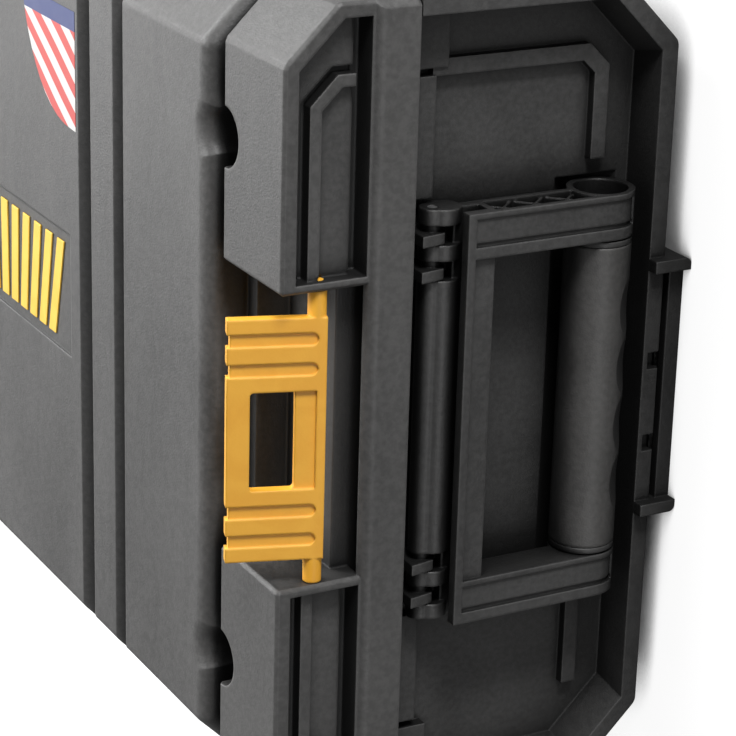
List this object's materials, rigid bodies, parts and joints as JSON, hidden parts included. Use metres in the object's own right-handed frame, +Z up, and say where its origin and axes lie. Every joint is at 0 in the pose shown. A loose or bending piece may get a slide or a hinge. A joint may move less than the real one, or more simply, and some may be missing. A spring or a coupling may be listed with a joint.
{
  "type": "tool box",
  "caption": "Low stackable tool box with a hinged sealed lid, steel draw latches, swinging end latches and folding end handles",
  "frame": {"origin": "middle of the base's flat underside", "axes": "+X along the length, +Y from the latches at the front to the hinge at the back, +Z up"},
  "size_m": [0.563, 0.3383, 0.1925],
  "materials": {
    "base_plastic": "fine grained structural foam",
    "lid_plastic": "fine grained structural foam",
    "handle_plastic": "moulded, satin",
    "grip_rubber": "soft, matte",
    "latch_yellow": "moulded, satin",
    "seal_rubber": "foamed rubber",
    "pin_steel": "bright drawn",
    "zinc_steel": "zinc plated",
    "black_steel": "black powder coat"
  },
  "bodies": {
    "base": {"base_tub": "base_plastic", "right_handle_pins": "pin_steel", "left_handle_pins": "pin_steel", "right_hinge_pin": "pin_steel", "left_hinge_pin": "pin_steel", "right_latch_bracket": "zinc_steel", "left_latch_bracket": "zinc_steel", "right_latch_lever_pin": "pin_steel", "left_latch_lever_pin": "pin_steel", "bracket_rivets": "zinc_steel"},
    "lid": {"lid_shell": "lid_plastic", "lid_seal": "seal_rubber", "right_latch_keeper": "zinc_steel", "left_latch_keeper": "zinc_steel", "keeper_rivets": "zinc_steel"},
    "right_side_latch": {"right_side_latch": "latch_yellow"},
    "right_handle": {"right_handle_frame": "handle_plastic", "right_handle_grip": "grip_rubber"},
    "right_lever": {"right_latch_lever": "black_steel"},
    "right_bail": {"right_latch_bail": "zinc_steel"},
    "left_side_latch": {"left_side_latch": "latch_yellow"},
    "left_handle": {"left_handle_frame": "handle_plastic", "left_handle_grip": "grip_rubber"},
    "left_lever": {"left_latch_lever": "black_steel"},
    "left_bail": {"left_latch_bail": "zinc_steel"}
  },
  "joints": [
    {"name": "lid_hinge", "type": "hinge", "parent": "base", "child": "lid", "pos_m": [0, 0.1664, 0.12225], "axis": [-1, 0, 0], "range_deg": [0, 105]},
    {"name": "right_side_latch_swing", "type": "hinge", "parent": "lid", "child": "right_side_latch", "pos_m": [0.268, 0, 0.159], "axis": [0, 1, 0], "range_deg": [0, 95]},
    {"name": "right_handle_swing", "type": "hinge", "parent": "base", "child": "right_handle", "pos_m": [0.266, 0, 0.1102], "axis": [0, -1, 0], "range_deg": [0, 75]},
    {"name": "right_lever_swing", "type": "hinge", "parent": "base", "child": "right_lever", "pos_m": [0.15, -0.1595, 0.092], "axis": [-1, 0, 0], "range_deg": [0, 110]},
    {"name": "right_bail_swing", "type": "hinge", "parent": "right_lever", "child": "right_bail", "pos_m": [0.15, -0.1586, 0.077], "axis": [-1, 0, 0], "range_deg": [-93.5, 0]},
    {"name": "left_side_latch_swing", "type": "hinge", "parent": "lid", "child": "left_side_latch", "pos_m": [-0.268, 0, 0.159], "axis": [0, -1, 0], "range_deg": [0, 95]},
    {"name": "left_handle_swing", "type": "hinge", "parent": "base", "child": "left_handle", "pos_m": [-0.266, 0, 0.1102], "axis": [0, 1, 0], "range_deg": [0, 75]},
    {"name": "left_lever_swing", "type": "hinge", "parent": "base", "child": "left_lever", "pos_m": [-0.15, -0.1595, 0.092], "axis": [-1, 0, 0], "range_deg": [0, 110]},
    {"name": "left_bail_swing", "type": "hinge", "parent": "left_lever", "child": "left_bail", "pos_m": [-0.15, -0.1586, 0.077], "axis": [-1, 0, 0], "range_deg": [-93.5, 0]}
  ],
  "couplings": [
    {"joint": "right_bail_swing", "follows": "right_lever_swing", "ratio": -0.85},
    {"joint": "left_bail_swing", "follows": "left_lever_swing", "ratio": -0.85}
  ]
}
